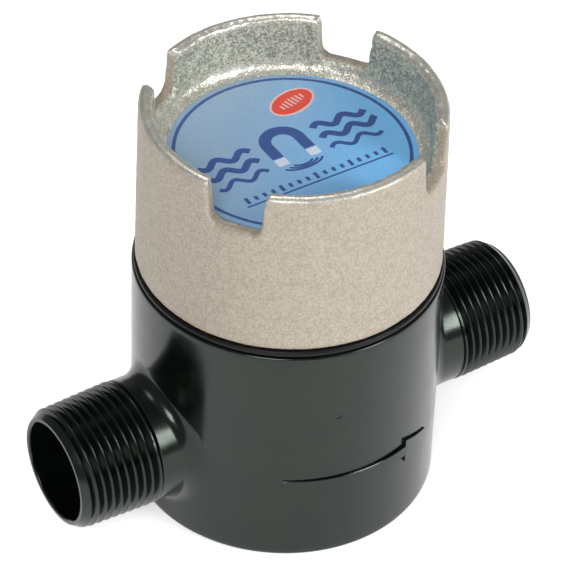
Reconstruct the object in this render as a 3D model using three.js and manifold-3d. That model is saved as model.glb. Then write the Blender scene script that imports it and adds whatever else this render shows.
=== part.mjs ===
// Magnetic system filter: a cup-shaped housing with two tapered pipe stubs, a cast castellated
// screw cap, and a magnet cartridge that hangs under the cap on a swivel.
// Millimetres, +Z up. The origin is the centre of the housing's foot and the pipe axis is along X.
import * as THREE from "three";
import { mergeVertices } from "three/addons/utils/BufferGeometryUtils.js";
import Module from "manifold-3d";

// ---- Driving dimensions -------------------------------------------------------------------
const HOUSING = { radius: 32, top: 54.3, edge: 0.8, chamberR: 26.6, chamberFloor: 5, chamberTop: 42.4 };
const SOCKET = { outerR: 8.5, top: 15, square: 9.6 };

const PIPE = { axisZ: 20, reach: 55.2, shankR: 13.2, boreR: 10.6, flareFrom: 26, flareTo: 35.5, flareR: 17.4 };
const PIPE_THREAD = {
  pitch: 1.814, depth: 1.16, crestFlat: 0.3, tipCrestR: 12.92, start: 37.3, chamfer: 1, faceR: 11.7,
};
const PIPE_TAPER = 1 / 32;

// The cap thread joins the cap's spigot and the housing's mouth. It is coarse and right-handed.
const CAP_THREAD = { pitch: 3, crestR: 28.1, rootR: 26.9, crestFlat: 0.7, footFlat: 2.1 };
const THREAD_GAP = { radial: 0.4, axial: 0.25 };
const SPIGOT = { bottom: 43.8, innerR: 23.5, threadEnd: 53.6 };

const CAP = {
  bottom: 55.9, top: 93.4, bottomR: 31.3, topR: 30.7, rimR: 28, edge: 0.9,
  floor: 80.9, floorR: 25.6, web: 76.9, hollowR: 26.4, hollowBottom: 59.5,
  bossR: 7.5, bossBottom: 71, tapR: 3.2, tapTop: 76.6,
};
const NOTCH = { count: 4, azimuth: 36, floor: 83.8, topWidth: 12.2, floorWidth: 10.4, corner: 1.9 };
const LABEL = { radius: 25.2, thickness: 0.4, gap: 0.02 };
const GASKET = { innerR: 28.6, outerR: 31.7, gap: 0.05, edge: 0.4 };

const ARROW = {
  z: 20, tail: -122.5, neck: -72, tip: -57.5, shaftHalf: 1.3, headHalf: 2.95, tailRise: 0.35, headRise: 0.65,
};

const TUBE = { outerR: 10, innerR: 9.4, bottom: 18, top: 64 };
const PLUG = { bodyR: 9.2, flangeR: 10, gap: 0.05, holeR: 2.2, grooveR: 7.9, grooveHeight: 1.9 };
const FOOT_PLUG = { keyBottom: 6, keySquare: 9, flangeBottom: 16.1, top: 25, holeBottom: 20.2, sealZ: 22.4 };
const HEAD_PLUG = {
  bottom: 54.6, top: 66, holeTop: 58.1, sealZ: 56.6, cavityR: 6.2, cavityFloor: 59.2, clipGrooveR: 7.1,
};
const SEAL_CORD_R = 0.7;
const ROD = { radius: 2, bottom: 20.4, top: 57.9, edge: 0.4 };
const MAGNET = { count: 4, height: 5.6, outerR: 9, innerR: 2.4, edge: 0.35 };
const POLE = { height: 1.3, outerR: 9.2, innerR: 2.3 };
const STACK_GAP = 0.03;
const SPRING = { innerR: 4.6, outerR: 8.4, thickness: 0.4 };
const CIRCLIP = { innerR: 4.2, outerR: 6.9, bottom: 62.9, thickness: 1, mouth: 50 };
const HANGER = { shankR: 3, headR: 5.6, headBottom: 59.4, headTop: 62.6, top: 76, edge: 0.5 };
const LOCK_NUT = { acrossFlats: 10, bottom: 67.4, top: 70.9, holeR: 3.2 };

// ---- Materials ----------------------------------------------------------------------------
const finish = (color, roughness, metalness) => new THREE.MeshStandardMaterial({ color, roughness, metalness });
const MATERIALS = {
  blackPlastic: finish(0x1b1d1f, 0.32, 0),
  castMetal: finish(0xb5ab9b, 0.5, 0.7),
  label: finish(0x7fa8d6, 0.4, 0),
  rubber: finish(0x0c0c0d, 0.7, 0),
  stainless: finish(0xc4c6c8, 0.25, 1),
  platedSteel: finish(0xb8b6ac, 0.35, 1),
  magnet: finish(0x9a9da1, 0.3, 1),
  springSteel: finish(0x55585c, 0.4, 1),
  greyPlastic: finish(0xd8d6cc, 0.5, 0),
};

// ---- Solids -------------------------------------------------------------------------------
const wasm = await Module();
wasm.setup();
const HULL_SIDES = 48;
const PART_SIDES = 24;
const PIPE_SIDES = 28;
const CAP_SIDES = 32;
const radians = THREE.MathUtils.degToRad;

function solid(geometry) {
  const bare = geometry.index ? geometry.toNonIndexed() : geometry.clone();
  bare.deleteAttribute("normal");
  bare.deleteAttribute("uv");
  const merged = mergeVertices(bare, 1e-4);
  const index = [];
  for (let i = 0; i < merged.index.count; i += 3) {
    const [a, b, c] = merged.index.array.slice(i, i + 3);
    if (a !== b && b !== c && c !== a) index.push(a, b, c);
  }
  return new wasm.Manifold(new wasm.Mesh({
    numProp: 3,
    vertProperties: merged.attributes.position.array,
    triVerts: new Uint32Array(index),
  }));
}

function geometryOf(manifold) {
  const mesh = manifold.getMesh();
  const geometry = new THREE.BufferGeometry();
  geometry.setAttribute("position", new THREE.BufferAttribute(mesh.vertProperties, 3));
  geometry.setIndex(new THREE.BufferAttribute(mesh.triVerts, 1));
  return geometry;
}

const join = (...solids) => solids.reduce((a, b) => a.add(b));
const cut = (body, ...tools) => tools.reduce((a, b) => a.subtract(b), body);

// A profile of [radius, z] points turned about Z. It runs counter-clockwise with the radius to
// the right, and starts and ends on the axis.
function turned(profile, sides = PART_SIDES) {
  const lathe = new THREE.LatheGeometry(profile.map(([r, z]) => new THREE.Vector2(r, z)), sides);
  return solid(lathe.rotateX(Math.PI / 2));
}

const disc = (radius, bottom, top, sides) => turned([[0, bottom], [radius, bottom], [radius, top], [0, top]], sides);

// A closed ring with its four long edges broken by `edge`.
function ring(innerR, outerR, bottom, top, edge = 0, sides = PART_SIDES) {
  const broken = [
    [innerR + edge, bottom], [outerR - edge, bottom], [outerR, bottom + edge], [outerR, top - edge],
    [outerR - edge, top], [innerR + edge, top], [innerR, top - edge], [innerR, bottom + edge],
  ];
  const square = [[innerR, bottom], [outerR, bottom], [outerR, top], [innerR, top]];
  const profile = edge > 0 ? broken : square;
  return turned([...profile, profile[0]], sides);
}

function block(x, y, bottom, top) {
  return solid(new THREE.BoxGeometry(x, y, top - bottom).translate(0, 0, (bottom + top) / 2));
}

// Points on an arc in a plane of [a, b] pairs, from one angle to another in degrees.
function arc(a, b, radius, from, to, steps) {
  return Array.from({ length: steps + 1 }, (_, i) => {
    const angle = radians(from + ((to - from) * i) / steps);
    return [a + radius * Math.cos(angle), b + radius * Math.sin(angle)];
  });
}

// A solid through a row of loops that hold the same number of points, closed at both ends.
function loft(loops) {
  const count = loops[0].length;
  const last = (loops.length - 1) * count;
  const index = [];
  for (let row = 0; row < last; row += count) {
    for (let j = 0; j < count; j += 1) {
      const [a, b] = [row + j, row + ((j + 1) % count)];
      index.push(a, b + count, b, a, a + count, b + count);
    }
  }
  for (let j = 1; j + 1 < count; j += 1) {
    index.push(0, j, j + 1, last, last + j + 1, last + j);
  }
  const geometry = new THREE.BufferGeometry();
  geometry.setAttribute("position", new THREE.Float32BufferAttribute(loops.flat(2), 3));
  geometry.setIndex(index);
  return solid(geometry);
}

const around = (radius, angle, z) => [radius * Math.cos(angle), radius * Math.sin(angle), z];

// A right-hand threaded rod about Z, pointed beyond both ends. `rows` are the [offset, radius]
// points of one pitch, centred on the crest. Every column of vertices is a step up the thread, so
// the last column meets the first one pitch higher.
function threadedRod(pitch, bottom, top, sides, rows, swell = () => 0) {
  const first = Math.floor(bottom / pitch) - 1;
  const height = (Math.ceil((top - bottom) / pitch) + 3) * rows.length;
  const positions = [];
  for (let column = 0; column < sides; column += 1) {
    for (let row = 0; row < height; row += 1) {
      const [offset, radius] = rows[row % rows.length];
      const z = (first + Math.floor(row / rows.length) + column / sides) * pitch + offset;
      positions.push(...around(radius + swell(z), (column / sides) * 2 * Math.PI, z));
    }
  }
  const at = (row, column) => column * height + row;
  const index = [];
  for (let column = 0; column < sides; column += 1) {
    const next = (column + 1) % sides;
    const lift = next === 0 ? rows.length : 0;
    for (let row = 0; row + 1 + lift < height; row += 1) {
      const [a, b, c] = [at(row, column), at(row + lift, next), at(row + 1 + lift, next)];
      index.push(a, b, c, a, c, at(row + 1, column));
    }
  }
  const across = (row) => Array.from({ length: sides }, (_, column) => at(row, column));
  const along = (column, from) => Array.from({ length: rows.length }, (_, i) => at(from - i, column));
  const foot = [...across(0), ...along(0, rows.length)].reverse();
  const head = [...across(height - 1), ...along(sides - 1, height - 2)];
  for (const [loop, beyond] of [[foot, -2], [head, 2]]) {
    const tip = positions.length / 3;
    positions.push(0, 0, positions[3 * loop[0] + 2] + beyond * pitch);
    loop.forEach((from, i) => index.push(from, loop[(i + 1) % loop.length], tip));
  }
  const geometry = new THREE.BufferGeometry();
  geometry.setAttribute("position", new THREE.Float32BufferAttribute(positions, 3));
  geometry.setIndex(index);
  return solid(geometry);
}

// ---- Housing ------------------------------------------------------------------------------
// One pipe stub along +Z, with its tapered male thread and the flare at its root.
function stubOuter() {
  const { reach, shankR, flareFrom, flareTo, flareR } = PIPE;
  const { pitch, depth, crestFlat, tipCrestR, start, chamfer, faceR } = PIPE_THREAD;
  const swell = (x) => (reach - x) * PIPE_TAPER;
  const rows = [[-crestFlat / 2, tipCrestR], [crestFlat / 2, tipCrestR], [pitch / 2, tipCrestR - depth]];
  const screw = threadedRod(pitch, start - 2, reach + 2, PIPE_SIDES, rows, swell);
  const envelope = turned([
    [0, start - 1], [shankR - 0.3, start - 1], [tipCrestR + swell(start) + 0.1, start + 0.5],
    [tipCrestR + 0.1, reach - chamfer], [faceR, reach], [0, reach],
  ], PIPE_SIDES);
  const shank = turned([
    [0, flareFrom], [flareR, flareFrom], [flareR - 2, flareFrom + 3], [shankR + 1.1, flareTo - 3.2],
    [shankR + 0.3, flareTo - 1.2], [shankR, flareTo], [shankR, start - 0.3], [0, start - 0.3],
  ], PIPE_SIDES);
  return screw.intersect(envelope).add(shank);
}

function onPipeAxis(body, side) {
  const geometry = geometryOf(body).rotateY((side * Math.PI) / 2).translate(0, 0, PIPE.axisZ);
  return solid(geometry);
}

// The male cap thread, or with the gaps added the shape of the mouth that it screws into.
function capThread(bottom, top, gap) {
  const { pitch, crestR, rootR, crestFlat, footFlat } = CAP_THREAD;
  const crest = crestFlat / 2 + gap.axial;
  const foot = footFlat / 2 + gap.axial;
  const [outer, inner] = [crestR + gap.radial, rootR + gap.radial];
  const rows = [[-crest, outer], [crest, outer], [foot, inner], [pitch - foot, inner]];
  return threadedRod(pitch, bottom, top, CAP_SIDES, rows);
}

// A bar wrapped round the housing and standing out of its wall.
function wrappedBar(from, to, halfFrom, halfTo, riseFrom, riseTo, steps) {
  const inner = HOUSING.radius - 0.8;
  return loft(Array.from({ length: steps + 1 }, (_, i) => {
    const angle = radians(from + ((to - from) * i) / steps);
    const half = halfFrom + ((halfTo - halfFrom) * i) / steps;
    const outer = HOUSING.radius + riseFrom + ((riseTo - riseFrom) * i) / steps;
    return [
      around(inner, angle, ARROW.z - half), around(outer, angle, ARROW.z - half),
      around(outer, angle, ARROW.z + half), around(inner, angle, ARROW.z + half),
    ];
  }));
}

function flowArrow() {
  const { tail, neck, tip, shaftHalf, headHalf, tailRise, headRise } = ARROW;
  const shaft = wrappedBar(tail, neck + 0.5, shaftHalf, shaftHalf, tailRise, headRise, 10);
  const head = wrappedBar(neck, tip, headHalf, 0.15, headRise + 0.02, tailRise, 4);
  return join(shaft, head);
}

function housing() {
  const { radius, top, edge, chamberR, chamberFloor, chamberTop } = HOUSING;
  const shell = turned([
    [0, 0], [radius - edge, 0], [radius - edge * 0.3, edge * 0.3], [radius, edge],
    [radius, top - 0.4], [radius - 0.4, top], [0, top],
  ], HULL_SIDES);
  const chamber = turned([
    [0, chamberFloor], [chamberR - 2, chamberFloor], [chamberR, chamberFloor + 2], [chamberR, chamberTop + 0.5],
    [0, chamberTop + 0.5],
  ], HULL_SIDES);
  const mouth = capThread(chamberTop, top, THREAD_GAP).intersect(disc(HOUSING.radius, chamberTop, top + 1));
  const bore = onPipeAxis(disc(PIPE.boreR, -60, 60, PIPE_SIDES), 1);
  const stubs = [-1, 1].map((side) => onPipeAxis(stubOuter(), side));
  const socketWall = disc(SOCKET.outerR, chamberFloor - 0.5, SOCKET.top);
  const socketHole = block(SOCKET.square, SOCKET.square, chamberFloor, SOCKET.top + 1);
  const outer = join(shell, ...stubs, flowArrow());
  const hollow = cut(outer, chamber, mouth, bore);
  return hollow.add(socketWall).subtract(socketHole);
}

function gasket() {
  const { innerR, outerR, gap, edge } = GASKET;
  return ring(innerR, outerR, HOUSING.top + gap, CAP.bottom - gap, edge, HULL_SIDES);
}

// ---- Cap ----------------------------------------------------------------------------------
function capBody() {
  const { bottom, top, bottomR, topR, rimR, edge, floor, floorR, web, hollowR, hollowBottom } = CAP;
  const { bossR, bossBottom, tapR, tapTop } = CAP;
  const fillet = rimR - floorR;
  return turned([
    [0, tapTop], [tapR, tapTop], [tapR, bossBottom], [bossR, bossBottom], [bossR, web - 1.5],
    [bossR + 1.5, web], [hollowR - 2.5, web], [hollowR, web - 2.5], [hollowR, hollowBottom],
    [SPIGOT.innerR, bottom], [SPIGOT.innerR, bottom - 1], [CAP_THREAD.rootR, bottom - 1],
    [CAP_THREAD.rootR, bottom], [bottomR - 0.4, bottom], [bottomR, bottom + 0.4],
    ...arc(topR - edge, top - edge, edge, 0, 90, 2),
    ...arc(rimR + edge, top - edge, edge, 90, 180, 2),
    ...arc(floorR, floor + fillet, fillet, 0, -90, 4),
    [0, floor],
  ], HULL_SIDES);
}

function spigot() {
  const { bottom, innerR, threadEnd } = SPIGOT;
  const { rootR, crestR } = CAP_THREAD;
  const envelope = turned([
    [0, bottom], [rootR - 0.6, bottom], [crestR + 0.1, bottom + 1.4], [crestR + 0.1, threadEnd - 0.8],
    [rootR, threadEnd + 0.3], [0, threadEnd + 0.3],
  ], HULL_SIDES);
  const screw = capThread(bottom, threadEnd, { radial: 0, axial: 0 }).intersect(envelope);
  const neck = disc(rootR, threadEnd - 0.1, CAP.bottom - 0.5, CAP_SIDES);
  return screw.add(neck).subtract(disc(innerR, bottom - 1, CAP.bottom + 1, HULL_SIDES));
}

// A spanner notch through the cap's rim, open at the top and at both faces of the wall.
function notch(azimuth) {
  const { floor, topWidth, floorWidth, corner } = NOTCH;
  const top = CAP.top + 1;
  const half = floorWidth / 2;
  const outline = [
    [topWidth / 2, top], [-topWidth / 2, top],
    ...arc(-half + corner, floor + corner, corner, 180, 270, 4),
    ...arc(half - corner, floor + corner, corner, 270, 360, 4),
  ];
  const shape = new THREE.Shape(outline.map(([x, y]) => new THREE.Vector2(x, y)));
  const prism = new THREE.ExtrudeGeometry(shape, { depth: 10, bevelEnabled: false });
  prism.rotateX(Math.PI / 2).rotateZ(Math.PI / 2);
  prism.translate(25.5, 0, 0).rotateZ(radians(azimuth));
  return solid(prism);
}

function cap() {
  const step = 360 / NOTCH.count;
  const notches = Array.from({ length: NOTCH.count }, (_, i) => notch(NOTCH.azimuth + i * step));
  return cut(capBody().add(spigot()), ...notches);
}

function label() {
  const bottom = CAP.floor + LABEL.gap;
  return disc(LABEL.radius, bottom, bottom + LABEL.thickness, HULL_SIDES);
}

function hanger() {
  const { shankR, headR, headBottom, headTop, top, edge } = HANGER;
  return turned([
    [0, headBottom], [headR - edge, headBottom], [headR, headBottom + edge], [headR, headTop - edge],
    [headR - edge, headTop], [shankR, headTop], [shankR, top - edge], [shankR - edge, top], [0, top],
  ]);
}

function lockNut() {
  const { acrossFlats, bottom, top, holeR } = LOCK_NUT;
  const cornerR = acrossFlats / Math.sqrt(3);
  const hexagon = disc(cornerR, bottom, top, 6);
  const rounded = turned([
    [0, bottom], [cornerR - 0.8, bottom], [cornerR, bottom + 0.5], [cornerR, top - 0.5],
    [cornerR - 0.8, top], [0, top],
  ]);
  return hexagon.intersect(rounded).subtract(disc(holeR, bottom - 1, top + 1));
}

// ---- Cartridge ----------------------------------------------------------------------------
function plugSealGroove(z) {
  return ring(PLUG.grooveR, PLUG.bodyR + 1, z - PLUG.grooveHeight / 2, z + PLUG.grooveHeight / 2);
}

function plugSeal(z) {
  const circleR = (PLUG.grooveR + TUBE.innerR) / 2;
  return turned(arc(circleR, z, SEAL_CORD_R, -180, 180, 8));
}

function footPlug() {
  const { keyBottom, keySquare, flangeBottom, top, holeBottom, sealZ } = FOOT_PLUG;
  const flangeTop = TUBE.bottom - PLUG.gap;
  const body = turned([
    [0, flangeBottom], [PLUG.flangeR - 0.4, flangeBottom], [PLUG.flangeR, flangeBottom + 0.4],
    [PLUG.flangeR, flangeTop], [PLUG.bodyR, flangeTop], [PLUG.bodyR, top], [0, top],
  ]);
  const taper = turned([[0, keyBottom], [5.4, keyBottom], [6.6, keyBottom + 1.4], [6.6, 17], [0, 17]]);
  const key = block(keySquare, keySquare, keyBottom, flangeBottom + 0.5).intersect(taper);
  return cut(body.add(key), plugSealGroove(sealZ), disc(PLUG.holeR, holeBottom, top + 1));
}

function headPlug() {
  const { bottom, top, holeTop, sealZ, cavityR, cavityFloor, clipGrooveR } = HEAD_PLUG;
  const flangeBottom = TUBE.top + PLUG.gap;
  const clipTop = CIRCLIP.bottom + CIRCLIP.thickness;
  const body = turned([
    [0, bottom], [PLUG.bodyR, bottom], [PLUG.bodyR, flangeBottom], [PLUG.flangeR, flangeBottom],
    [PLUG.flangeR, top - 0.4], [PLUG.flangeR - 0.4, top], [0, top],
  ]);
  const cavity = disc(cavityR, cavityFloor, top + 1);
  const clipGroove = disc(clipGrooveR, CIRCLIP.bottom - PLUG.gap, clipTop + PLUG.gap);
  return cut(body, plugSealGroove(sealZ), disc(PLUG.holeR, bottom - 1, holeTop), cavity, clipGroove);
}

function tieRod() {
  const { radius, bottom, top, edge } = ROD;
  return turned([
    [0, bottom], [radius - edge, bottom], [radius, bottom + edge], [radius, top - edge],
    [radius - edge, top], [0, top],
  ], 24);
}

// The inner ends of the ring are set back so that a gap is left to squeeze it through the plug.
function circlip() {
  const { innerR, outerR, bottom, thickness, mouth } = CIRCLIP;
  const top = bottom + thickness;
  const middleR = (innerR + outerR) / 2;
  const steps = 24;
  return loft(Array.from({ length: steps + 1 }, (_, i) => {
    const angle = radians(mouth / 2 + ((360 - mouth) * i) / steps);
    const back = Math.abs(i / steps - 0.5) * 2;
    const inner = innerR + (middleR - innerR) * 0.4 * back;
    return [
      around(inner, angle, bottom), around(outerR, angle, bottom),
      around(outerR, angle, top), around(inner, angle, top),
    ];
  }));
}

// Where each layer of the magnet stack starts: a pole disc at both ends and between the magnets.
function stackLayers() {
  const layers = [];
  let z = FOOT_PLUG.top + STACK_GAP;
  for (let i = 1; i <= MAGNET.count + 1; i += 1) {
    layers.push([`pole_disc_${i}`, ring(POLE.innerR, POLE.outerR, z, z + POLE.height), "platedSteel"]);
    z += POLE.height + STACK_GAP;
    if (i > MAGNET.count) break;
    const magnet = ring(MAGNET.innerR, MAGNET.outerR, z, z + MAGNET.height, MAGNET.edge);
    layers.push([`ring_magnet_${i}`, magnet, "magnet"]);
    z += MAGNET.height + STACK_GAP;
  }
  layers.push(["stack_spring", ring(SPRING.innerR, SPRING.outerR, z, z + SPRING.thickness), "springSteel"]);
  return layers;
}

// ---- Assembly -----------------------------------------------------------------------------
const pieces = [
  ["housing", housing(), "blackPlastic"],
  ["cap_gasket", gasket(), "rubber"],
  ["crown_cap", cap(), "castMetal"],
  ["label_disc", label(), "label"],
  ["swivel_hanger", hanger(), "stainless"],
  ["hanger_lock_nut", lockNut(), "stainless"],
  ["cartridge_tube", ring(TUBE.innerR, TUBE.outerR, TUBE.bottom, TUBE.top, 0, PART_SIDES), "stainless"],
  ["foot_plug", footPlug(), "greyPlastic"],
  ["foot_plug_seal", plugSeal(FOOT_PLUG.sealZ), "rubber"],
  ["head_plug", headPlug(), "greyPlastic"],
  ["head_plug_seal", plugSeal(HEAD_PLUG.sealZ), "rubber"],
  ["swivel_circlip", circlip(), "springSteel"],
  ["tie_rod", tieRod(), "stainless"],
  ...stackLayers(),
];

const group = new THREE.Group();
for (const [name, body, material] of pieces) {
  const mesh = new THREE.Mesh(geometryOf(body), MATERIALS[material]);
  mesh.name = name;
  group.add(mesh);
}

export default group;
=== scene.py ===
import math

import bpy
import numpy as np
from mathutils import Matrix, Vector, noise


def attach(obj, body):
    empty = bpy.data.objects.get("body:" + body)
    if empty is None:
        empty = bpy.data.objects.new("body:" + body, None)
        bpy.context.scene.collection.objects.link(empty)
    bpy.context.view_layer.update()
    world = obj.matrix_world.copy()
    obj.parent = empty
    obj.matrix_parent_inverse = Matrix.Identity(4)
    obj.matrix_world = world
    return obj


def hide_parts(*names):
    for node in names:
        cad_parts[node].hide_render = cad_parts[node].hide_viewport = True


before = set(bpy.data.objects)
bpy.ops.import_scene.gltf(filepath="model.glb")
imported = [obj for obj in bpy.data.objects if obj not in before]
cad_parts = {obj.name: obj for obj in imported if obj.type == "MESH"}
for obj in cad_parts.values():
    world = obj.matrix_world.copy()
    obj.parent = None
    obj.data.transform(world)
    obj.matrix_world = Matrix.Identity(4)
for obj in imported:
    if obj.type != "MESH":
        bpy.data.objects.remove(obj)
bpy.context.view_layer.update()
scene = bpy.context.scene
MM = 0.001

# ---- Sizes, in millimetres and degrees ----------------------------------------------------
HOUSING_R, HOUSING_TOP = 32.0, 54.3
PIPE_Z, PIPE_REACH, SHANK_R, BORE_R = 20.0, 55.2, 13.2, 10.6
PIPE_PITCH, PIPE_DEPTH, PIPE_TIP_R, PIPE_START = 1.814, 1.16, 12.92, 37.3
PIPE_TAPER, PIPE_FILLET, PIPE_SIDES = 1 / 32, 2.9, 96
ARROW_TAIL, ARROW_NECK, ARROW_TIP = -122.5, -72, -57.5
GATE_AZIMUTH, GATE_Z = -103, 37.9
CHAMBER_R, CHAMBER_FLOOR, CHAMBER_TOP = 26.6, 5, 42.4
SOCKET_R, SOCKET_TOP, SOCKET_SQUARE = 8.5, 15, 9.6
CAP_PITCH, CAP_CREST_R, CAP_ROOT_R, CAP_THREAD_SIDES = 3.0, 28.1, 26.9, 144
MOUTH_GAP, SPIGOT_GAP = (0.4, 0.25), (0, 0)
SPIGOT_BOTTOM, SPIGOT_INNER_R = 43.8, 23.5
CAP_BOTTOM, CAP_TOP = 55.9, 93.4
NOTCH_AZIMUTH, NOTCH_FLOOR, NOTCH_COUNT = 36.0, 83.8, 4
FLOOR_Z, LABEL_R, LABEL_THICKNESS = 80.9, 25.2, 0.4
LABEL_BOTTOM = FLOOR_Z + 0.02
LABEL_TOP = LABEL_BOTTOM + LABEL_THICKNESS
INK_BOTTOM, INK_TOP = LABEL_TOP - 0.02, LABEL_TOP + 0.035
MAGNET_POLE_X, MAGNET_WIDTH = 3.7, 2.5
BADGE_X, BADGE_Y, BADGE_TILT = 8.4, 13.6, 16

INK_BLUE = (0.042, 0.095, 0.30)


# ---- Mesh helpers -------------------------------------------------------------------------
def mesh_object(name, verts, faces):
    mesh = bpy.data.meshes.new(name)
    mesh.from_pydata([(x * MM, y * MM, z * MM) for x, y, z in verts], [], faces)
    mesh.validate()
    obj = bpy.data.objects.new(name, mesh)
    scene.collection.objects.link(obj)
    return obj


def rounded(points, closed=False, steps=5):
    """Points (a, b) or (a, b, radius); a corner with a radius becomes an arc."""
    path = []
    count = len(points)
    for i, point in enumerate(points):
        here = Vector(point[:2])
        inner = closed or 0 < i < count - 1
        if len(point) < 3 or not inner:
            path.append(tuple(here))
            continue
        back = Vector(points[i - 1][:2]) - here
        on = Vector(points[(i + 1) % count][:2]) - here
        half = back.angle(on) / 2
        reach = min(point[2] / math.tan(half), back.length * 0.49, on.length * 0.49)
        centre = here + (back.normalized() + on.normalized()).normalized() * (reach / math.cos(half))
        first = here + back.normalized() * reach - centre
        last = here + on.normalized() * reach - centre
        start = math.atan2(first.y, first.x)
        sweep = (math.atan2(last.y, last.x) - start + math.pi) % (2 * math.pi) - math.pi
        for k in range(steps + 1):
            angle = start + sweep * k / steps
            x = centre.x + first.length * math.cos(angle)
            y = centre.y + first.length * math.sin(angle)
            path.append((x, y))
    return path


def divided(path, longest, closed=False):
    """The same path with no step longer than `longest`."""
    ends = list(zip(path, path[1:] + path[:1])) if closed else list(zip(path, path[1:]))
    out = []
    for a, b in ends:
        steps = max(1, math.ceil(math.dist(a, b) / longest))
        out += [(a[0] + (b[0] - a[0]) * k / steps, a[1] + (b[1] - a[1]) * k / steps) for k in range(steps)]
    return out if closed else out + [path[-1]]


def lathe(name, profile, sides=96, closed=False):
    """A solid turned about Z from [radius, z] points, counter-clockwise with the radius to the right."""
    verts, rings = [], []
    for r, z in profile:
        if r < 1e-6:
            rings.append([len(verts)])
            verts.append((0, 0, z))
            continue
        rings.append(list(range(len(verts), len(verts) + sides)))
        for i in range(sides):
            angle = 2 * math.pi * i / sides
            verts.append((r * math.cos(angle), r * math.sin(angle), z))
    faces = []
    for low, high in list(zip(rings, rings[1:])) + ([(rings[-1], rings[0])] if closed else []):
        for i in range(sides):
            j = (i + 1) % sides
            if len(low) == 1 and len(high) > 1:
                faces.append((low[0], high[j], high[i]))
            elif len(high) == 1 and len(low) > 1:
                faces.append((low[i], low[j], high[0]))
            elif len(low) > 1:
                faces.append((low[i], low[j], high[j], high[i]))
    return mesh_object(name, verts, faces)


def threaded_rod(name, pitch, bottom, top, sides, rows, swell=lambda z: 0):
    """A right-hand threaded rod about Z, pointed beyond both ends. rows are the (offset, radius)
    points of one pitch; each column of vertices is a step up the thread."""
    first = math.floor(bottom / pitch) - 1
    height = (math.ceil((top - bottom) / pitch) + 3) * len(rows)
    verts = []
    for column in range(sides):
        angle = 2 * math.pi * column / sides
        for row in range(height):
            offset, radius = rows[row % len(rows)]
            z = (first + row // len(rows) + column / sides) * pitch + offset
            r = radius + swell(z)
            verts.append((r * math.cos(angle), r * math.sin(angle), z))
    faces = []
    for column in range(sides):
        lift = len(rows) if column == sides - 1 else 0
        a, b = column * height, (column + 1) % sides * height + lift
        faces += [(a + k, b + k, b + k + 1, a + k + 1) for k in range(height - lift - 1)]
    foot = [c * height for c in range(sides)] + [len(rows) - k for k in range(len(rows))]
    head = [(c + 1) * height - 1 for c in range(sides)] + [sides * height - 2 - k for k in range(len(rows))]
    for loop, beyond in ((foot[::-1], -2), (head, 2)):
        tip = len(verts)
        verts.append((0, 0, verts[loop[0]][2] + beyond * pitch))
        faces += [(loop[k], loop[(k + 1) % len(loop)], tip) for k in range(len(loop))]
    return mesh_object(name, verts, faces)


def loft(name, loops):
    """A solid through loops that hold the same number of points, closed at both ends."""
    count = len(loops[0])
    verts = [p for loop in loops for p in loop]
    last = len(verts) - count
    faces = [tuple(range(count)), tuple(range(last + count - 1, last - 1, -1))]
    for row in range(0, last, count):
        for j in range(count):
            k = (j + 1) % count
            faces.append((row + j, row + count + j, row + count + k, row + k))
    return mesh_object(name, verts, faces)


def applied(obj):
    """Makes the modifiers' result the object's own mesh."""
    depsgraph = bpy.context.evaluated_depsgraph_get()
    mesh = bpy.data.meshes.new_from_object(obj.evaluated_get(depsgraph))
    obj.modifiers.clear()
    obj.data = mesh
    return obj


def boolean(obj, operation, *tools):
    for tool in tools:
        modifier = obj.modifiers.new("cut", "BOOLEAN")
        modifier.operation = operation
        modifier.solver = "MANIFOLD"
        modifier.object = tool
        bpy.context.view_layer.update()
        applied(obj)
        bpy.data.objects.remove(tool)
    return obj


def remeshed(obj, voxel, smoothing):
    remesh = obj.modifiers.new("voxels", "REMESH")
    remesh.mode = "VOXEL"
    remesh.voxel_size = voxel * MM
    soften = obj.modifiers.new("soften", "SMOOTH")
    soften.factor = 0.5
    soften.iterations = smoothing
    bpy.context.view_layer.update()
    return applied(obj)


def moved(obj, matrix):
    obj.data.transform(matrix)
    return obj


def circle(radius, sides):
    turns = [math.radians(360 * i / sides) for i in range(sides)]
    return [(radius * math.cos(turn), radius * math.sin(turn)) for turn in turns]


def around(radius, degrees, z):
    return (radius * math.cos(math.radians(degrees)), radius * math.sin(math.radians(degrees)), z)


def finished(obj, material, slot, body, *nodes, sharp=32):
    """Gives a piece its smoothing, material and body, and hides the CAD nodes it stands for. The slot is
    not used.
    """
    obj.data.materials.clear()
    obj.data.materials.append(material)
    for polygon in obj.data.polygons:
        polygon.use_smooth = True
        polygon.material_index = 0
    obj.data.set_sharp_from_angle(angle=math.radians(sharp))
    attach(obj, body)
    if nodes:
        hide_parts(*nodes)
    return obj


# ---- Materials ----------------------------------------------------------------------------
def new_material(name, base, roughness, metallic=0.0, **constants):
    material = bpy.data.materials.new(name)
    material.use_nodes = True
    shader = material.node_tree.nodes["Principled BSDF"]
    shader.inputs["Base Color"].default_value = (*base, 1)
    shader.inputs["Roughness"].default_value = roughness
    shader.inputs["Metallic"].default_value = metallic
    for key, value in constants.items():
        shader.inputs[key.replace("_", " ")].default_value = value
    return material, shader


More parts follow.
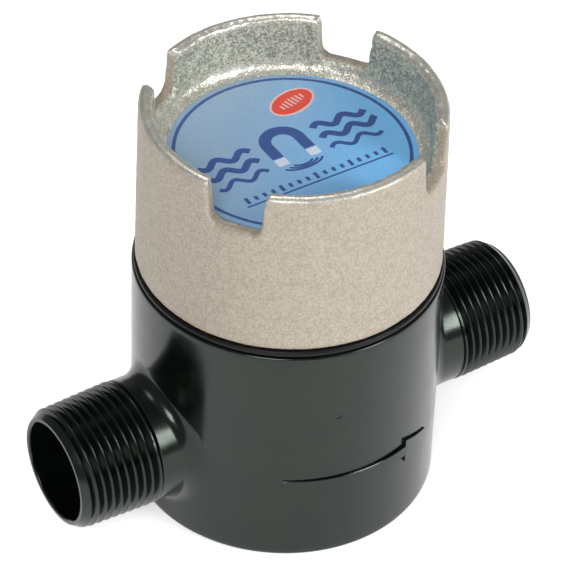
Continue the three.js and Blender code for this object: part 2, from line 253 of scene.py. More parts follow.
class Graph:
    """Short ways to add nodes to one material."""

    def __init__(self, material):
        self.tree = material.node_tree
        self.place = self.node("ShaderNodeTexCoord").outputs["Object"]

    def node(self, kind, **settings):
        node = self.tree.nodes.new(kind)
        for key, value in settings.items():
            setattr(node, key, value)
        return node

    def link(self, source, target):
        if isinstance(source, (int, float)):
            target.default_value = source
        elif isinstance(source, tuple):
            target.default_value = source if len(source) == 4 else (*source, 1)
        else:
            self.tree.links.new(source, target)

    def noise(self, per_mm, detail=3.0, rough=0.5, place=None):
        """Noise with about this many features to the millimetre, from 0 to 1."""
        node = self.node("ShaderNodeTexNoise")
        node.inputs["Scale"].default_value = per_mm / MM
        node.inputs["Detail"].default_value = detail
        node.inputs["Roughness"].default_value = rough
        self.link(place or self.place, node.inputs["Vector"])
        return node.outputs["Fac"]

    def ramp(self, value, low, high, to_low=0.0, to_high=1.0):
        node = self.node("ShaderNodeMapRange", interpolation_type="SMOOTHSTEP")
        for key, number in (("From Min", low), ("From Max", high), ("To Min", to_low), ("To Max", to_high)):
            node.inputs[key].default_value = number
        self.link(value, node.inputs["Value"])
        return node.outputs["Result"]

    def ramp_mm(self, place, low, high, to_low=0.0, to_high=1.0):
        """A ramp between two places that are given in millimetres."""
        return self.ramp(place, low * MM, high * MM, to_low, to_high)

    def math(self, operation, a, b=0.0, clamp=False):
        node = self.node("ShaderNodeMath", operation=operation, use_clamp=clamp)
        self.link(a, node.inputs[0])
        self.link(b, node.inputs[1])
        return node.outputs[0]

    def mix(self, factor, a, b):
        node = self.node("ShaderNodeMix", data_type="RGBA")
        self.link(factor, node.inputs[0])
        self.link(a, node.inputs[6])
        self.link(b, node.inputs[7])
        return node.outputs[2]

    def axes(self):
        node = self.node("ShaderNodeSeparateXYZ")
        self.link(self.place, node.inputs[0])
        return node.outputs

    def radius(self):
        x, y, _ = self.axes()
        squares = self.math("ADD", self.math("MULTIPLY", x, x), self.math("MULTIPLY", y, y))
        return self.math("SQRT", squares)

    def bump(self, shader, height, distance_mm, strength=1.0):
        node = self.node("ShaderNodeBump")
        node.inputs["Distance"].default_value = distance_mm * MM
        node.inputs["Strength"].default_value = strength
        self.link(height, node.inputs["Height"])
        self.link(node.outputs["Normal"], shader.inputs["Normal"])


def black_plastic():
    material, shader = new_material("moulded_black", (0.006, 0.010, 0.008), 0.26, Specular_IOR_Level=0.5)
    shader.inputs["Specular Tint"].default_value = (0.88, 1.0, 0.92, 1)
    graph = Graph(material)
    cloud = graph.noise(0.12, 3)
    grain = graph.noise(3.0, 2)
    colour = graph.mix(graph.ramp(cloud, 0.3, 0.7), (0.0015, 0.0028, 0.0019), (0.0030, 0.0055, 0.0038))
    graph.link(colour, shader.inputs["Base Color"])
    polish = graph.ramp(cloud, 0.25, 0.75, 0.15, 0.24)
    rough = graph.math("ADD", polish, graph.ramp(grain, 0.3, 0.7, -0.03, 0.03))
    graph.link(rough, shader.inputs["Roughness"])
    sink = graph.math("MULTIPLY", graph.noise(0.35, 2), 0.7)
    graph.bump(shader, graph.math("ADD", sink, graph.math("MULTIPLY", grain, 0.12)), 0.08, 0.3)
    return material


def cast_metal():
    """Coated outside wall, raw casting in the recess, rim and ledge painted light for wear and painted
    highlight, machined spigot.
    """
    material, shader = new_material("cast_cap", (0.44, 0.4, 0.34), 0.5, 0.3)
    graph = Graph(material)
    _, _, height = graph.axes()
    radius = graph.radius()
    in_recess = graph.ramp_mm(height, FLOOR_Z - 1.9, FLOOR_Z - 0.9)
    spigot = graph.ramp_mm(height, CAP_BOTTOM - 0.2, CAP_BOTTOM, 1.0, 0.0)
    raw = graph.math("MULTIPLY", graph.ramp_mm(radius, 27.8, 29.3, 1.0, 0.0), in_recess, clamp=True)
    # The ledge round the label is painted lighter as a painted highlight, standing for its fillet catching
    # the lamps.
    ledge = graph.math("MULTIPLY", raw, graph.ramp_mm(height, FLOOR_Z + 1.1, FLOOR_Z + 3.6, 1.0, 0.0))
    on_top = graph.ramp_mm(height, CAP_TOP - 1.6, CAP_TOP - 0.6)
    rim = graph.math("MULTIPLY", on_top, graph.ramp_mm(radius, 30.2, 30.8, 1.0, 0.0))
    # Mask for rim wear and for the painted highlight on the ledge and rim.
    worn_and_highlight = graph.math("MAXIMUM", ledge, rim)

    blotch = graph.noise(0.5, 4, 0.6)
    speck = graph.noise(2.0, 3, 0.65)
    grain = graph.noise(4.5, 2, 0.6)
    mottle = graph.math("ADD", graph.math("MULTIPLY", blotch, 0.25), graph.math("MULTIPLY", speck, 0.75))
    coated_colour = graph.mix(graph.ramp(mottle, 0.34, 0.66), (0.335, 0.287, 0.226), (0.462, 0.405, 0.330))
    raw_colour = graph.mix(graph.ramp(mottle, 0.36, 0.66), (0.250, 0.270, 0.205), (0.860, 0.840, 0.680))
    # Light cream for the rim and ledge: partly wear, partly a painted highlight on the rounded edges and
    # the ledge.
    worn_and_highlight_colour = graph.mix(graph.ramp(mottle, 0.36, 0.64), (0.520, 0.505, 0.430), (0.880, 0.860, 0.780))
    spigot_colour = graph.mix(graph.ramp(grain, 0.3, 0.7), (0.50, 0.50, 0.48), (0.62, 0.615, 0.60))
    colour = graph.mix(raw, coated_colour, raw_colour)
    colour = graph.mix(worn_and_highlight, colour, worn_and_highlight_colour)
    graph.link(graph.mix(spigot, colour, spigot_colour), shader.inputs["Base Color"])

    metal = graph.math("MULTIPLY", raw, 0.3)
    metal = graph.math("MAXIMUM", metal, graph.math("MULTIPLY", worn_and_highlight, 0.7))
    metal = graph.math("MAXIMUM", metal, graph.ramp(spigot, 0, 1, 0.12, 0.95))
    graph.link(metal, shader.inputs["Metallic"])

    shine = graph.math("MAXIMUM", graph.math("MAXIMUM", raw, spigot), graph.math("MULTIPLY", worn_and_highlight, 1.3))
    rough = graph.ramp(speck, 0.3, 0.7, 0.56, 0.42)
    rough = graph.math("SUBTRACT", rough, graph.math("MULTIPLY", shine, 0.15))
    graph.link(rough, shader.inputs["Roughness"])

    depth = graph.math("SUBTRACT", graph.ramp(raw, 0, 1, 0.5, 1.2), graph.math("MULTIPLY", rim, 0.38))
    relief = graph.math("MULTIPLY", mottle, depth)
    relief = graph.math("ADD", relief, graph.math("MULTIPLY", grain, 0.14))
    graph.bump(shader, relief, 0.24, 0.7)
    return material


def label_print():
    material, shader = new_material("label_print", (0.3, 0.5, 0.8), 0.28, Specular_IOR_Level=0.5)
    graph = Graph(material)
    x, y, _ = graph.axes()
    # Painted reflection and painted light: the blue is paler towards -X/+Y and a stronger, brighter blue
    # towards +X/-Y, where it makes up for the shade of the cap wall.
    slant = graph.math("SUBTRACT", graph.math("MULTIPLY", x, 0.75), graph.math("MULTIPLY", y, 0.66))
    painted_light_ramp = graph.ramp_mm(slant, -20, 22)
    cloud = graph.math("MULTIPLY", graph.noise(0.05, 2), 0.25)
    painted_light_ramp = graph.math("SUBTRACT", graph.math("ADD", painted_light_ramp, cloud), 0.12, clamp=True)
    base = graph.mix(painted_light_ramp, (0.28, 0.41, 0.565), (0.19, 0.52, 0.92))
    radius = graph.radius()
    ring_inside = graph.ramp_mm(radius, LABEL_R - 1.95, LABEL_R - 1.8)
    ring_outside = graph.ramp_mm(radius, LABEL_R - 1.2, LABEL_R - 1.05, 1.0, 0.0)
    ring = graph.math("MULTIPLY", ring_inside, ring_outside)
    colour = graph.mix(ring, base, INK_BLUE)
    dot = graph.ramp(graph.noise(5.0, 1), 0.35, 0.65, 0.96, 1.04)
    shade = graph.node("ShaderNodeHueSaturation")
    graph.link(dot, shade.inputs["Value"])
    graph.link(colour, shade.inputs["Color"])
    graph.link(shade.outputs[0], shader.inputs["Base Color"])
    graph.link(graph.ramp(graph.noise(0.4, 3), 0.3, 0.7, 0.24, 0.34), shader.inputs["Roughness"])
    graph.bump(shader, graph.noise(0.15, 2), 0.08, 0.25)
    return material


def ink(name, colour):
    material, shader = new_material(name, colour, 0.32)
    graph = Graph(material)
    wear = graph.ramp(graph.noise(2.5, 3), 0.25, 0.75, 0.9, 1.1)
    shade = graph.node("ShaderNodeHueSaturation")
    graph.link(wear, shade.inputs["Value"])
    graph.link((*colour, 1), shade.inputs["Color"])
    graph.link(shade.outputs[0], shader.inputs["Base Color"])
    return material


def rubber():
    material, shader = new_material("black_rubber", (0.002, 0.002, 0.002), 0.42, Specular_IOR_Level=0.25)
    graph = Graph(material)
    graph.link(graph.ramp(graph.noise(0.8, 3), 0.3, 0.7, 0.34, 0.5), shader.inputs["Roughness"])
    graph.bump(shader, graph.noise(2.0, 2), 0.03, 0.3)
    return material


def turned_metal(name, colour, roughness, rings_per_mm=4.0, metallic=1.0):
    """Metal with the fine rings that turning or drawing leaves round its axis."""
    material, shader = new_material(name, colour, roughness, metallic)
    graph = Graph(material)
    squeeze = graph.node("ShaderNodeMapping")
    squeeze.inputs["Scale"].default_value = (0.02, 0.02, 1)
    graph.link(graph.place, squeeze.inputs["Vector"])
    rings = graph.noise(rings_per_mm, 3, 0.6, squeeze.outputs[0])
    cloud = graph.noise(0.25, 3)
    dark = tuple(c * 0.8 for c in colour)
    light = tuple(min(1, c * 1.12) for c in colour)
    graph.link(graph.mix(graph.ramp(cloud, 0.3, 0.7), dark, light), shader.inputs["Base Color"])
    graph.link(graph.ramp(rings, 0.3, 0.7, roughness * 0.75, roughness * 1.3), shader.inputs["Roughness"])
    graph.bump(shader, rings, 0.02, 0.5)
    return material


BLACK = black_plastic()
CAST = cast_metal()
LABEL = label_print()
INK = ink("ink_blue", INK_BLUE)
RED = ink("ink_red", (0.78, 0.075, 0.05))
PINK = ink("ink_pink", (0.80, 0.55, 0.55))
PALE = ink("ink_pale", (0.66, 0.72, 0.84))
RUBBER = rubber()
STAINLESS = turned_metal("drawn_stainless", (0.60, 0.61, 0.62), 0.24)
PLATED = turned_metal("plated_steel", (0.50, 0.49, 0.45), 0.32)
NICKEL = turned_metal("nickel_plate", (0.62, 0.61, 0.60), 0.20, 2.0)
SPRING = turned_metal("spring_steel", (0.15, 0.15, 0.16), 0.38)
ACETAL = turned_metal("natural_acetal", (0.68, 0.67, 0.62), 0.45, 3.0, 0.0)


# ---- Housing ------------------------------------------------------------------------------
def pipe_collar():
    """The end of the smooth shank and the fillet that runs it into the round housing, along +Z."""
    fillet_steps, fillet_degrees = 12, 86
    loops = []
    for x, radius in ((37.0, SHANK_R - 0.2), (36.8, SHANK_R), (36.0, SHANK_R)):
        loops.append([(a, b, x) for a, b in circle(radius, PIPE_SIDES)])
    for k in range(fillet_steps + 1):
        bend = math.radians(fillet_degrees * k / fillet_steps)
        rise = PIPE_FILLET * (1 - math.sin(bend))
        ring = circle(SHANK_R + PIPE_FILLET * (1 - math.cos(bend)), PIPE_SIDES)
        loops.append([(a, b, rise + math.sqrt(HOUSING_R ** 2 - b ** 2)) for a, b in ring])
    sunk = [(a, b, x - 0.5) for a, b, x in loops[-1]]
    inner_end = [(a, b, 22.0) for a, b, _ in sunk]
    return loft("collar", loops + [sunk, inner_end])


def pipe_stub(side):
    """A stub along X: collar, smooth shank, and a tapered thread with rounded crests."""
    def swell(x):
        return (PIPE_REACH - x) * PIPE_TAPER

    rows_per_pitch, crest_share = 10, 0.14
    rows = []
    for k in range(rows_per_pitch):
        phase = k / rows_per_pitch
        wave = abs(phase - 0.5) * 2
        shape = max(0.0, (wave - crest_share) / (1 - crest_share))
        rows.append(((phase - 0.5) * PIPE_PITCH, PIPE_TIP_R - PIPE_DEPTH * shape))
    screw = threaded_rod("stub", PIPE_PITCH, PIPE_START - 3, PIPE_REACH + 2, PIPE_SIDES, rows, swell)
    envelope = lathe("envelope", [
        (0, PIPE_START - 2), (SHANK_R - 0.3, PIPE_START - 2), (SHANK_R, PIPE_START - 0.8),
        (PIPE_TIP_R + swell(PIPE_START) + 0.02, PIPE_START + 1.8), (PIPE_TIP_R + 0.05, PIPE_REACH - 2.1),
        (BORE_R + 1.15, PIPE_REACH - 0.25), (BORE_R + 0.9, PIPE_REACH), (0, PIPE_REACH),
    ], PIPE_SIDES)
    boolean(screw, "INTERSECT", envelope)
    boolean(screw, "UNION", pipe_collar())
    turn = Matrix.Translation((0, 0, PIPE_Z * MM)) @ Matrix.Rotation(side * math.pi / 2, 4, "Y")
    return moved(screw, turn)


def wrapped_bar(name, start, end, half_start, half_end, rise_start, rise_end, steps):
    """A bar wrapped round the housing and standing out of its wall, with broken outer edges."""
    loops = []
    for k in range(steps + 1):
        part = k / steps
        degrees = start + (end - start) * part
        half = half_start + (half_end - half_start) * part
        outer = HOUSING_R + rise_start + (rise_end - rise_start) * part
        edge = min(0.12, half * 0.5)
        sunk = HOUSING_R - 1
        section = [(sunk, -half), (outer - edge, -half), (outer, edge - half), (outer, half - edge),
                   (outer - edge, half), (sunk, half)]
        loops.append([around(radius, degrees, PIPE_Z + rise) for radius, rise in section])
    return loft(name, loops)


def cap_thread(name, bottom, top, gap):
    """The male cap thread, or with the gap added the shape of the mouth that it screws into."""
    radial, axial = gap
    crest, foot = 0.35 + axial, 1.05 + axial
    ramp = [(-foot, 0.0), (-foot + 0.12, 0.06), (-crest - 0.06, 0.93), (-crest + 0.06, 1.0)]
    rows = []
    for offset, rise in ramp + [(-offset, rise) for offset, rise in ramp[::-1]]:
        rows.append((offset, CAP_ROOT_R + radial + (CAP_CREST_R - CAP_ROOT_R) * rise))
    return threaded_rod(name, CAP_PITCH, bottom, top, CAP_THREAD_SIDES, rows)


def cap_mouth():
    """The cutters for the threaded mouth: the thread, trimmed to the mouth, and the way in."""
    above = HOUSING_TOP + 1.7
    thread = cap_thread("mouth", CHAMBER_TOP, HOUSING_TOP, MOUTH_GAP)
    trim = lathe("trim", [
        (0, CHAMBER_TOP), (30, CHAMBER_TOP), (30, HOUSING_TOP - 0.6), (30.6, above), (0, above),
    ], CAP_THREAD_SIDES)
    boolean(thread, "INTERSECT", trim)
    entry = lathe("entry", [
        (0, 53.4), (27.6, 53.4), (28.55, HOUSING_TOP + 0.01), (28.55, above), (0, above),
    ], CAP_THREAD_SIDES)
    return thread, entry


def pipe_bore():
    end, past_end, countersink_r = PIPE_REACH - 0.3, PIPE_REACH + 1.8, 12.2
    bore = lathe("bore", divided(rounded([
        (0, -past_end), (countersink_r, -past_end), (BORE_R, -end, 0.3), (BORE_R, end, 0.3),
        (countersink_r, past_end), (0, past_end),
    ]), 3.0), PIPE_SIDES)
    return moved(bore, Matrix.Translation((0, 0, PIPE_Z * MM)) @ Matrix.Rotation(math.pi / 2, 4, "Y"))


def gate_mark():
    """The cutter for the small dimple that the mould's gate left on the front."""
    dimple = lathe("gate", [(0, -0.12), (0.75, -0.12), (0.9, 2), (0, 2)], 24)
    turn = Matrix.Rotation(math.radians(GATE_AZIMUTH), 4, "Z")
    reach = Matrix.Translation((HOUSING_R * MM, 0, GATE_Z * MM))
    return moved(dimple, turn @ reach @ Matrix.Rotation(math.pi / 2, 4, "Y"))


def foot_socket():
    """The square socket that keeps the cartridge from turning."""
    foot = CHAMBER_FLOOR - 0.4
    socket = lathe("socket", rounded([
        (0, foot), (SOCKET_R, foot), (SOCKET_R, SOCKET_TOP, 0.5), (0, SOCKET_TOP),
    ]), 64)
    hole = mesh_object("hole", *box_mesh(SOCKET_SQUARE, SOCKET_SQUARE, CHAMBER_FLOOR, SOCKET_TOP + 1))
    return boolean(socket, "DIFFERENCE", hole)


def housing():
    shell = lathe("housing_moulding", divided(rounded([
        (0, 0), (HOUSING_R, 0, 1.1), (HOUSING_R, HOUSING_TOP, 0.45), (0, HOUSING_TOP),
    ]), 1.2), 192)
    boolean(shell, "UNION", pipe_stub(-1), pipe_stub(1))
    shaft = wrapped_bar("shaft", ARROW_TAIL, ARROW_NECK + 0.4, 1.3, 1.3, 0.33, 0.62, 48)
    head = wrapped_bar("head", ARROW_NECK, ARROW_TIP, 2.95, 0.15, 0.63, 0.34, 20)
    boolean(shell, "UNION", shaft, head)
    chamber = lathe("chamber", rounded([
        (0, CHAMBER_FLOOR), (CHAMBER_R, CHAMBER_FLOOR, 2.0), (CHAMBER_R, CHAMBER_TOP + 0.5),
        (0, CHAMBER_TOP + 0.5),
    ]), 128)
    boolean(shell, "DIFFERENCE", chamber, *cap_mouth(), pipe_bore(), gate_mark())
    boolean(shell, "UNION", foot_socket())
    return finished(shell, BLACK, "housing_black", "housing", "housing", sharp=34)


def box_mesh(x, y, bottom, top):
    corners = [(sx * x / 2, sy * y / 2) for sx, sy in ((-1, -1), (1, -1), (1, 1), (-1, 1))]
    verts = [(a, b, bottom) for a, b in corners] + [(a, b, top) for a, b in corners]
    faces = [(3, 2, 1, 0), (4, 5, 6, 7), (0, 1, 5, 4), (1, 2, 6, 5), (2, 3, 7, 6), (3, 0, 4, 7)]
    return verts, faces


def gasket():
    inner, outer, bottom, top = 28.7, 31.72, HOUSING_TOP + 0.07, CAP_BOTTOM - 0.07
    ring = lathe("cap_gasket_ring", rounded([
        (inner, bottom, 0.3), (outer, bottom, 0.6), (outer, top, 0.6), (inner, top, 0.3),
    ], closed=True, steps=6), 192, closed=True)
    return finished(ring, RUBBER, "seal_rubber", "housing", "cap_gasket")


# ---- Cap ----------------------------------------------------------------------------------
def notch_tool(azimuth):
    outline = rounded([
        (-7.6, 99), (-6.15, 94.5), (-5.2, NOTCH_FLOOR, 2.0), (5.2, NOTCH_FLOOR, 2.0),
        (6.15, 94.5), (7.6, 99),
    ], steps=6)
    loops = [[(radius, across, z) for across, z in outline] for radius in (35.5, 25.9)]
    return moved(loft("notch", loops), Matrix.Rotation(math.radians(azimuth), 4, "Z"))


def cast_relief(obj):
    """Sand-cast unevenness: coarse inside the recess, slight on the outside."""
    mesh = obj.data
    count = len(mesh.vertices)
    points = np.empty(count * 3)
    normals = np.empty(count * 3)
    mesh.vertices.foreach_get("co", points)
    mesh.vertices.foreach_get("normal", normals)
    points, normals = points.reshape(-1, 3) / MM, normals.reshape(-1, 3)
    shift = np.empty(count)
    for i, (x, y, z) in enumerate(points):
        inner = 1.0 if z > FLOOR_Z + 0.1 and math.hypot(x, y) < 29 else 0.0
        coarse = noise.noise(Vector((x, y, z)) * 0.33)
        fine = noise.noise(Vector((x, y, z)) * 0.85 + Vector((9, 3, 5)))
        shift[i] = coarse * (0.06 + 0.10 * inner) + fine * (0.02 + 0.13 * inner)
    mesh.vertices.foreach_set("co", ((points + normals * shift[:, None]) * MM).ravel())
    mesh.update()
    return obj


def spigot():
    """The threaded neck under the cap, open in the middle."""
    screw = cap_thread("spigot", SPIGOT_BOTTOM, 53.6, SPIGOT_GAP)
    envelope = lathe("envelope", [
        (0, SPIGOT_BOTTOM), (CAP_ROOT_R - 0.7, SPIGOT_BOTTOM), (CAP_CREST_R + 0.1, SPIGOT_BOTTOM + 1.5),
        (CAP_CREST_R + 0.1, 52.8), (CAP_ROOT_R, 53.9), (0, 53.9),
    ], CAP_THREAD_SIDES)
    boolean(screw, "INTERSECT", envelope)
    neck = lathe("neck", [
        (0, 53.5), (CAP_ROOT_R, 53.5), (CAP_ROOT_R, 57.4), (0, 57.4),
    ], CAP_THREAD_SIDES)
    boolean(screw, "UNION", neck)
    inside = lathe("inside", [
        (0, 42), (SPIGOT_INNER_R + 0.6, 42), (SPIGOT_INNER_R, 44.2), (SPIGOT_INNER_R, 56.6),
        (25.6, 58.6), (0, 58.6),
    ], CAP_THREAD_SIDES)
    return boolean(screw, "DIFFERENCE", inside)


def crown():
    wall_top = CAP_TOP + 0.1
    body = lathe("crown_casting", divided(rounded([
        (0, 76.6), (3.2, 76.6), (3.2, 71), (7.5, 71, 0.8), (7.5, 76.9, 1.5), (26.4, 76.9, 2.5),
        (26.4, 59.5, 1.0), (24.2, 56.9), (24.2, CAP_BOTTOM), (31.35, CAP_BOTTOM, 0.6),
        (30.75, wall_top, 1.15), (27.9, wall_top, 1.15), (27.7, FLOOR_Z, 2.4), (0, FLOOR_Z),
    ]), 2.0), 160)
    for k in range(NOTCH_COUNT):
        boolean(body, "DIFFERENCE", notch_tool(NOTCH_AZIMUTH + 360 / NOTCH_COUNT * k))
    remeshed(body, 0.5, 7)
    cast_relief(body)
    boolean(body, "UNION", spigot())
    return finished(body, CAST, "cap_cast", "cap", "crown_cap", sharp=50)


def ribbon(points, width, bottom, top):
    """A flat strip of constant width along a path in the XY plane, as vertices and faces."""
    verts, faces = [], []
    count = len(points)
    for i, (x, y) in enumerate(points):
        ahead, behind = points[min(i + 1, count - 1)], points[max(i - 1, 0)]
        run = Vector((ahead[0] - behind[0], ahead[1] - behind[1])).normalized() * width / 2
        for z in (bottom, top):
            verts += [(x - run.y, y + run.x, z), (x + run.y, y - run.x, z)]
    for i in range(count - 1):
        a, b = 4 * i, 4 * i + 4
        faces += [(a, b, b + 1, a + 1), (a + 2, a + 3, b + 3, b + 2)]
        faces += [(a, a + 2, b + 2, b), (a + 1, b + 1, b + 3, a + 3)]
    end = 4 * (count - 1)
    faces += [(0, 1, 3, 2), (end, end + 2, end + 3, end + 1)]
    return verts, faces


def joined(name, shapes):
    verts, faces = [], []
    for more_verts, more_faces in shapes:
        faces += [tuple(v + len(verts) for v in face) for face in more_faces]
        verts += more_verts
    return mesh_object(name, verts, faces)


def bow(cx, cy, rx, ry, start, end, steps):
    turns = [math.radians(start + (end - start) * k / steps) for k in range(steps + 1)]
    return [(cx + rx * math.cos(t), cy + ry * math.sin(t)) for t in turns]


def label_face():
    disc = lathe("label_face", divided(rounded([
        (0, LABEL_BOTTOM), (LABEL_R, LABEL_BOTTOM, 0.1), (LABEL_R, LABEL_TOP, 0.15), (0, LABEL_TOP),
    ]), 3.0), 192)
    return finished(disc, LABEL, "label_print", "cap", "label_disc")


def mark(path, width):
    return ribbon(path, width, INK_BOTTOM, INK_TOP)


def wave_line(side, reach, y):
    start, steps = 7.4, 40
    path = []
    for k in range(steps + 1):
        x = start + (reach - start) * k / steps
        path.append((side * x, y + 0.95 * math.sin((x - start) * 1.05)))
    return path


def magnet_tips():
    tips = [mark([(x, -0.9), (x, -3.1)], MAGNET_WIDTH) for x in (-MAGNET_POLE_X, MAGNET_POLE_X)]
    return finished(joined("label_tips", tips), PALE, "label_print", "cap")


def blue_marks():
    """A horseshoe magnet with the field under it, wave lines at both sides, and a row of ticks."""
    arch = bow(0, 3.4, MAGNET_POLE_X, MAGNET_POLE_X, 180, 0, 24)
    marks = [mark([(-MAGNET_POLE_X, -0.6)] + arch + [(MAGNET_POLE_X, -0.6)], MAGNET_WIDTH)]
    for size in (1.0, 1.5, 2.0):
        marks.append(mark(bow(0, -3.6, 2.3 * size, 1.1 * size, 200, 340, 20), 0.5))
    for side in (-1, 1):
        for reach, y, width in ((19.5, 4.2, 1.5), (20.5, 0.6, 1.5), (19.0, -3.0, 1.0)):
            marks.append(mark(wave_line(side, reach, y), width))
    ticks, spacing, tick_y = 17, 2, -8.9
    for k in range(ticks):
        x = spacing * (k - (ticks - 1) / 2)
        tall = 1.9 if k % 4 == 0 else 1.2
        marks.append(mark([(x, tick_y + tall / 2), (x, tick_y - tall / 2)], 0.75))
    marks.append(mark([(-17, -10.6), (17, -10.6)], 0.4))
    return finished(joined("label_marks", marks), INK, "label_print", "cap")


def badge():
    """A small tilted oval with a pale rim and a row of bars."""
    turn = Matrix.Rotation(math.radians(BADGE_TILT), 4, "Z")
    place = Matrix.Translation((BADGE_X * MM, BADGE_Y * MM, INK_BOTTOM * MM)) @ turn
    thickness = INK_TOP - INK_BOTTOM
    for name, half_length, half_width, rise, colour in (
        ("label_badge_rim", 5.6, 3.5, thickness, PINK),
        ("label_badge", 5.1, 3.0, thickness + 0.03, RED),
    ):
        oval = lathe(name, [(0, 0), (1, 0), (1, 1), (0, 1)], 64)
        moved(oval, place @ Matrix.Diagonal((half_length, half_width, rise, 1)))
        finished(oval, colour, "label_print", "cap")
    bars = []
    for k, tall in zip(range(-3, 4), (1.2, 1.7, 2.0, 2.2, 2.0, 1.7, 1.2)):
        x = 0.95 * k
        bars.append(ribbon([(x, -0.55 * tall), (x, 0.55 * tall)], 0.4, 0, thickness + 0.045))
    return finished(moved(joined("label_bars", bars), place), PINK, "label_print", "cap")


def label():
    label_face()
    magnet_tips()
    blue_marks()
    badge()


def hanger():
    ridges = []
    z = 67.2
    while z < 75.2:
        ridges += [(2.68, z), (3.0, z + 0.32), (3.0, z + 0.42), (2.68, z + 0.75)]
        z += 1.0
    stud = lathe("swivel_stud", rounded([
        (0, 59.9), (1.5, 59.9), (1.7, 59.4), (5.6, 59.4, 0.5), (5.6, 62.6, 0.5), (3.0, 62.6, 0.2),
        (3.0, 67.0),
    ]) + ridges + [(2.6, 75.9), (0, 76)], 64)
    return finished(stud, STAINLESS, "stainless", "cap", "swivel_hanger")


def lock_nut():
    corner = 10 / math.sqrt(3)
    nut = lathe("lock_nut", [(0, 67.4), (corner, 67.4), (corner, 70.9), (0, 70.9)], 6)
    dome = lathe("dome", [
        (0, 67.4), (corner - 0.75, 67.4), (corner + 0.02, 67.95), (corner + 0.02, 70.35),
        (corner - 0.75, 70.9), (0, 70.9),
    ], 72)
    hole = lathe("hole", [(0, 67), (3.8, 67), (3.2, 67.8), (3.2, 70.5), (3.8, 71.3), (0, 71.3)], 48)
    boolean(nut, "INTERSECT", dome)
    boolean(nut, "DIFFERENCE", hole)
    return finished(nut, STAINLESS, "stainless", "cap", "hanger_lock_nut", sharp=25)


# ---- Cartridge ----------------------------------------------------------------------------
def ring(name, inner, outer, bottom, top, edge, material, slot, node):
    shape = rounded([
        (inner, bottom, edge), (outer, bottom, edge), (outer, top, edge), (inner, top, edge),
    ], closed=True, steps=3)
    return finished(lathe(name, shape, 72, closed=True), material, slot, "cartridge", node, sharp=40)


def seal(name, z, node):
    section = [(8.65 + a, z + b) for a, b in circle(0.7, 20)]
    return finished(lathe(name, section, 72, closed=True), RUBBER, "seal_rubber", "cartridge", node)


def foot_plug():
    body = lathe("foot_plug_body", rounded([
        (0, 16.1), (10, 16.1, 0.4), (10, 17.95, 0.2), (9.2, 17.95), (9.2, 21.45, 0.1), (7.9, 21.45, 0.2),
        (7.9, 23.35, 0.2), (9.2, 23.35, 0.1), (9.2, 25, 0.4), (2.2, 25, 0.2), (2.2, 20.2), (0, 20.2),
    ], steps=3), 72)
    key = mesh_object("key", *box_mesh(9, 9, 6, 17))
    cone = lathe("cone", [(0, 6), (5.2, 6), (6.5, 7.4), (6.5, 18), (0, 18)], 64)
    boolean(key, "INTERSECT", cone)
    boolean(body, "UNION", key)
    return finished(body, ACETAL, "plug_acetal", "cartridge", "foot_plug")


def head_plug():
    body = lathe("head_plug_body", rounded([
        (0, 58.1), (2.2, 58.1), (2.2, 54.6, 0.2), (9.2, 54.6, 0.4), (9.2, 55.65, 0.1), (7.9, 55.65, 0.2),
        (7.9, 57.55, 0.2), (9.2, 57.55, 0.1), (9.2, 64.05), (10, 64.05, 0.2), (10, 66, 0.5), (6.2, 66, 0.4),
        (6.2, 63.95), (7.1, 63.95), (7.1, 62.85), (6.2, 62.85), (6.2, 59.2, 0.3), (0, 59.2),
    ], steps=3), 72)
    return finished(body, ACETAL, "plug_acetal", "cartridge", "head_plug")


def circlip():
    loops = []
    for k in range(73):
        degrees = 25 + 310 * k / 72
        inner = 4.2 + 0.54 * abs(k / 36 - 1)
        loops.append([
            around(inner, degrees, 62.9), around(6.9, degrees, 62.9), around(6.9, degrees, 63.9),
            around(inner, degrees, 63.9),
        ])
    clip = loft("circlip_ring", loops)
    for degrees in (33, 327):
        hole = lathe("hole", [(0, 62), (0.55, 62), (0.55, 65), (0, 65)], 20)
        moved(hole, Matrix.Translation(Vector(around(5.75, degrees, 0)) * MM))
        boolean(clip, "DIFFERENCE", hole)
    return finished(clip, SPRING, "spring_steel", "cartridge", "swivel_circlip")


def cartridge():
    ring("tube_sleeve", 9.4, 10.0, 18, 64, 0.12, STAINLESS, "stainless", "cartridge_tube")
    foot_plug()
    head_plug()
    circlip()
    seal("foot_seal", 22.4, "foot_plug_seal")
    seal("head_seal", 56.6, "head_plug_seal")
    rod = lathe("tie_rod_bar", rounded([(0, 20.4), (2, 20.4, 0.4), (2, 57.9, 0.4), (0, 57.9)]), 48)
    finished(rod, STAINLESS, "stainless", "cartridge", "tie_rod")
    z, gap, pole_height, magnet_height, pole_count = 25.03, 0.03, 1.3, 5.6, 5
    for k in range(1, pole_count + 1):
        top = z + pole_height
        ring(f"pole_{k}", 2.3, 9.2, z, top, 0.12, PLATED, "pole_steel", f"pole_disc_{k}")
        z = top + gap
        if k < pole_count:
            top = z + magnet_height
            ring(f"magnet_{k}", 2.4, 9.0, z, top, 0.35, NICKEL, "magnet_nickel", f"ring_magnet_{k}")
            z = top + gap
    ring("wave_washer", 4.6, 8.4, z, z + 0.4, 0.08, SPRING, "spring_steel", "stack_spring")


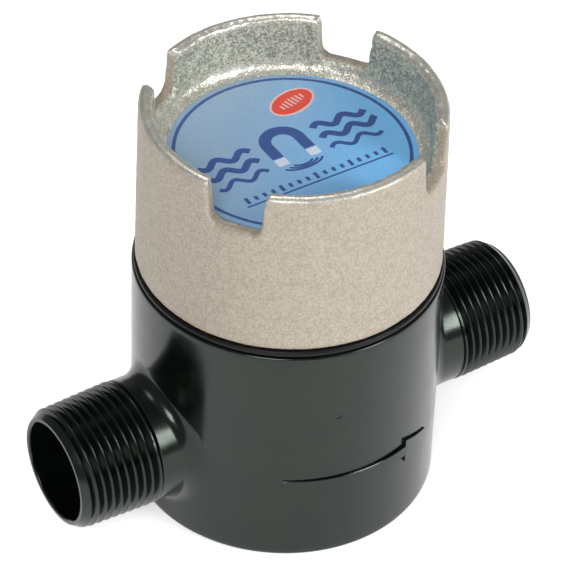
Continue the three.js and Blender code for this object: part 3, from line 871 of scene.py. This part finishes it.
# ---- Stage --------------------------------------------------------------------------------
def stage():
    reach, level = 3000, -0.05
    signs = ((-1, -1), (1, -1), (1, 1), (-1, 1))
    corners = [(reach * x, reach * y, level) for x, y in signs]
    floor = mesh_object("floor", corners, [(0, 1, 2, 3)])
    material, shader = new_material("pale_floor", (0.93, 0.93, 0.93), 0.9)
    shader.inputs["Emission Color"].default_value = (1, 1, 1, 1)
    shader.inputs["Emission Strength"].default_value = 0.55
    floor.data.materials.append(material)
    world = bpy.data.worlds.new("studio")
    world.use_nodes = True
    world.node_tree.nodes["Background"].inputs["Color"].default_value = (1, 1, 1, 1)
    world.node_tree.nodes["Background"].inputs["Strength"].default_value = 0.20
    scene.world = world
    scene.view_settings.view_transform = "Standard"


def area_light(name, place, target, size, power):
    data = bpy.data.lights.new(name, "AREA")
    data.shape = "RECTANGLE"
    data.size, data.size_y = size
    data.energy = power
    light = bpy.data.objects.new(name, data)
    light.location = place
    aim = Vector(target) - Vector(place)
    light.rotation_euler = aim.to_track_quat("-Z", "Y").to_euler()
    scene.collection.objects.link(light)


def camera():
    azimuth, elevation, roll = math.radians(-33.47), math.radians(40.47), math.radians(2.11)
    shift_across, shift_up, distance = 0.00008, 0.0359, 0.7565
    level = math.cos(elevation)
    back = Vector((math.sin(azimuth) * level, -math.cos(azimuth) * level, math.sin(elevation)))
    right = (-back).cross(Vector((0, 0, 1))).normalized()
    up = right.cross(-back)
    across = right * math.cos(roll) + up * math.sin(roll)
    upward = up * math.cos(roll) - right * math.sin(roll)
    data = bpy.data.cameras.new("camera")
    data.sensor_width = 36
    data.lens = 226.4
    data.clip_start = 0.05
    eye = bpy.data.objects.new("camera", data)
    place = across * shift_across + upward * shift_up + back * distance
    eye.matrix_world = Matrix.Translation(place) @ Matrix((across, upward, back)).transposed().to_4x4()
    scene.collection.objects.link(eye)
    scene.camera = eye


housing()
gasket()
crown()
label()
hanger()
lock_nut()
cartridge()
stage()
camera()
area_light("key", (-0.62, -0.62, 0.80), (0, 0, 0.05), (0.4, 0.4), 5.5)
area_light("fill", (0.52, -0.98, 0.62), (0, 0, 0.04), (0.36, 0.5), 8)
area_light("top", (0.05, 0.30, 1.0), (0, 0, 0.05), (0.5, 0.35), 2)
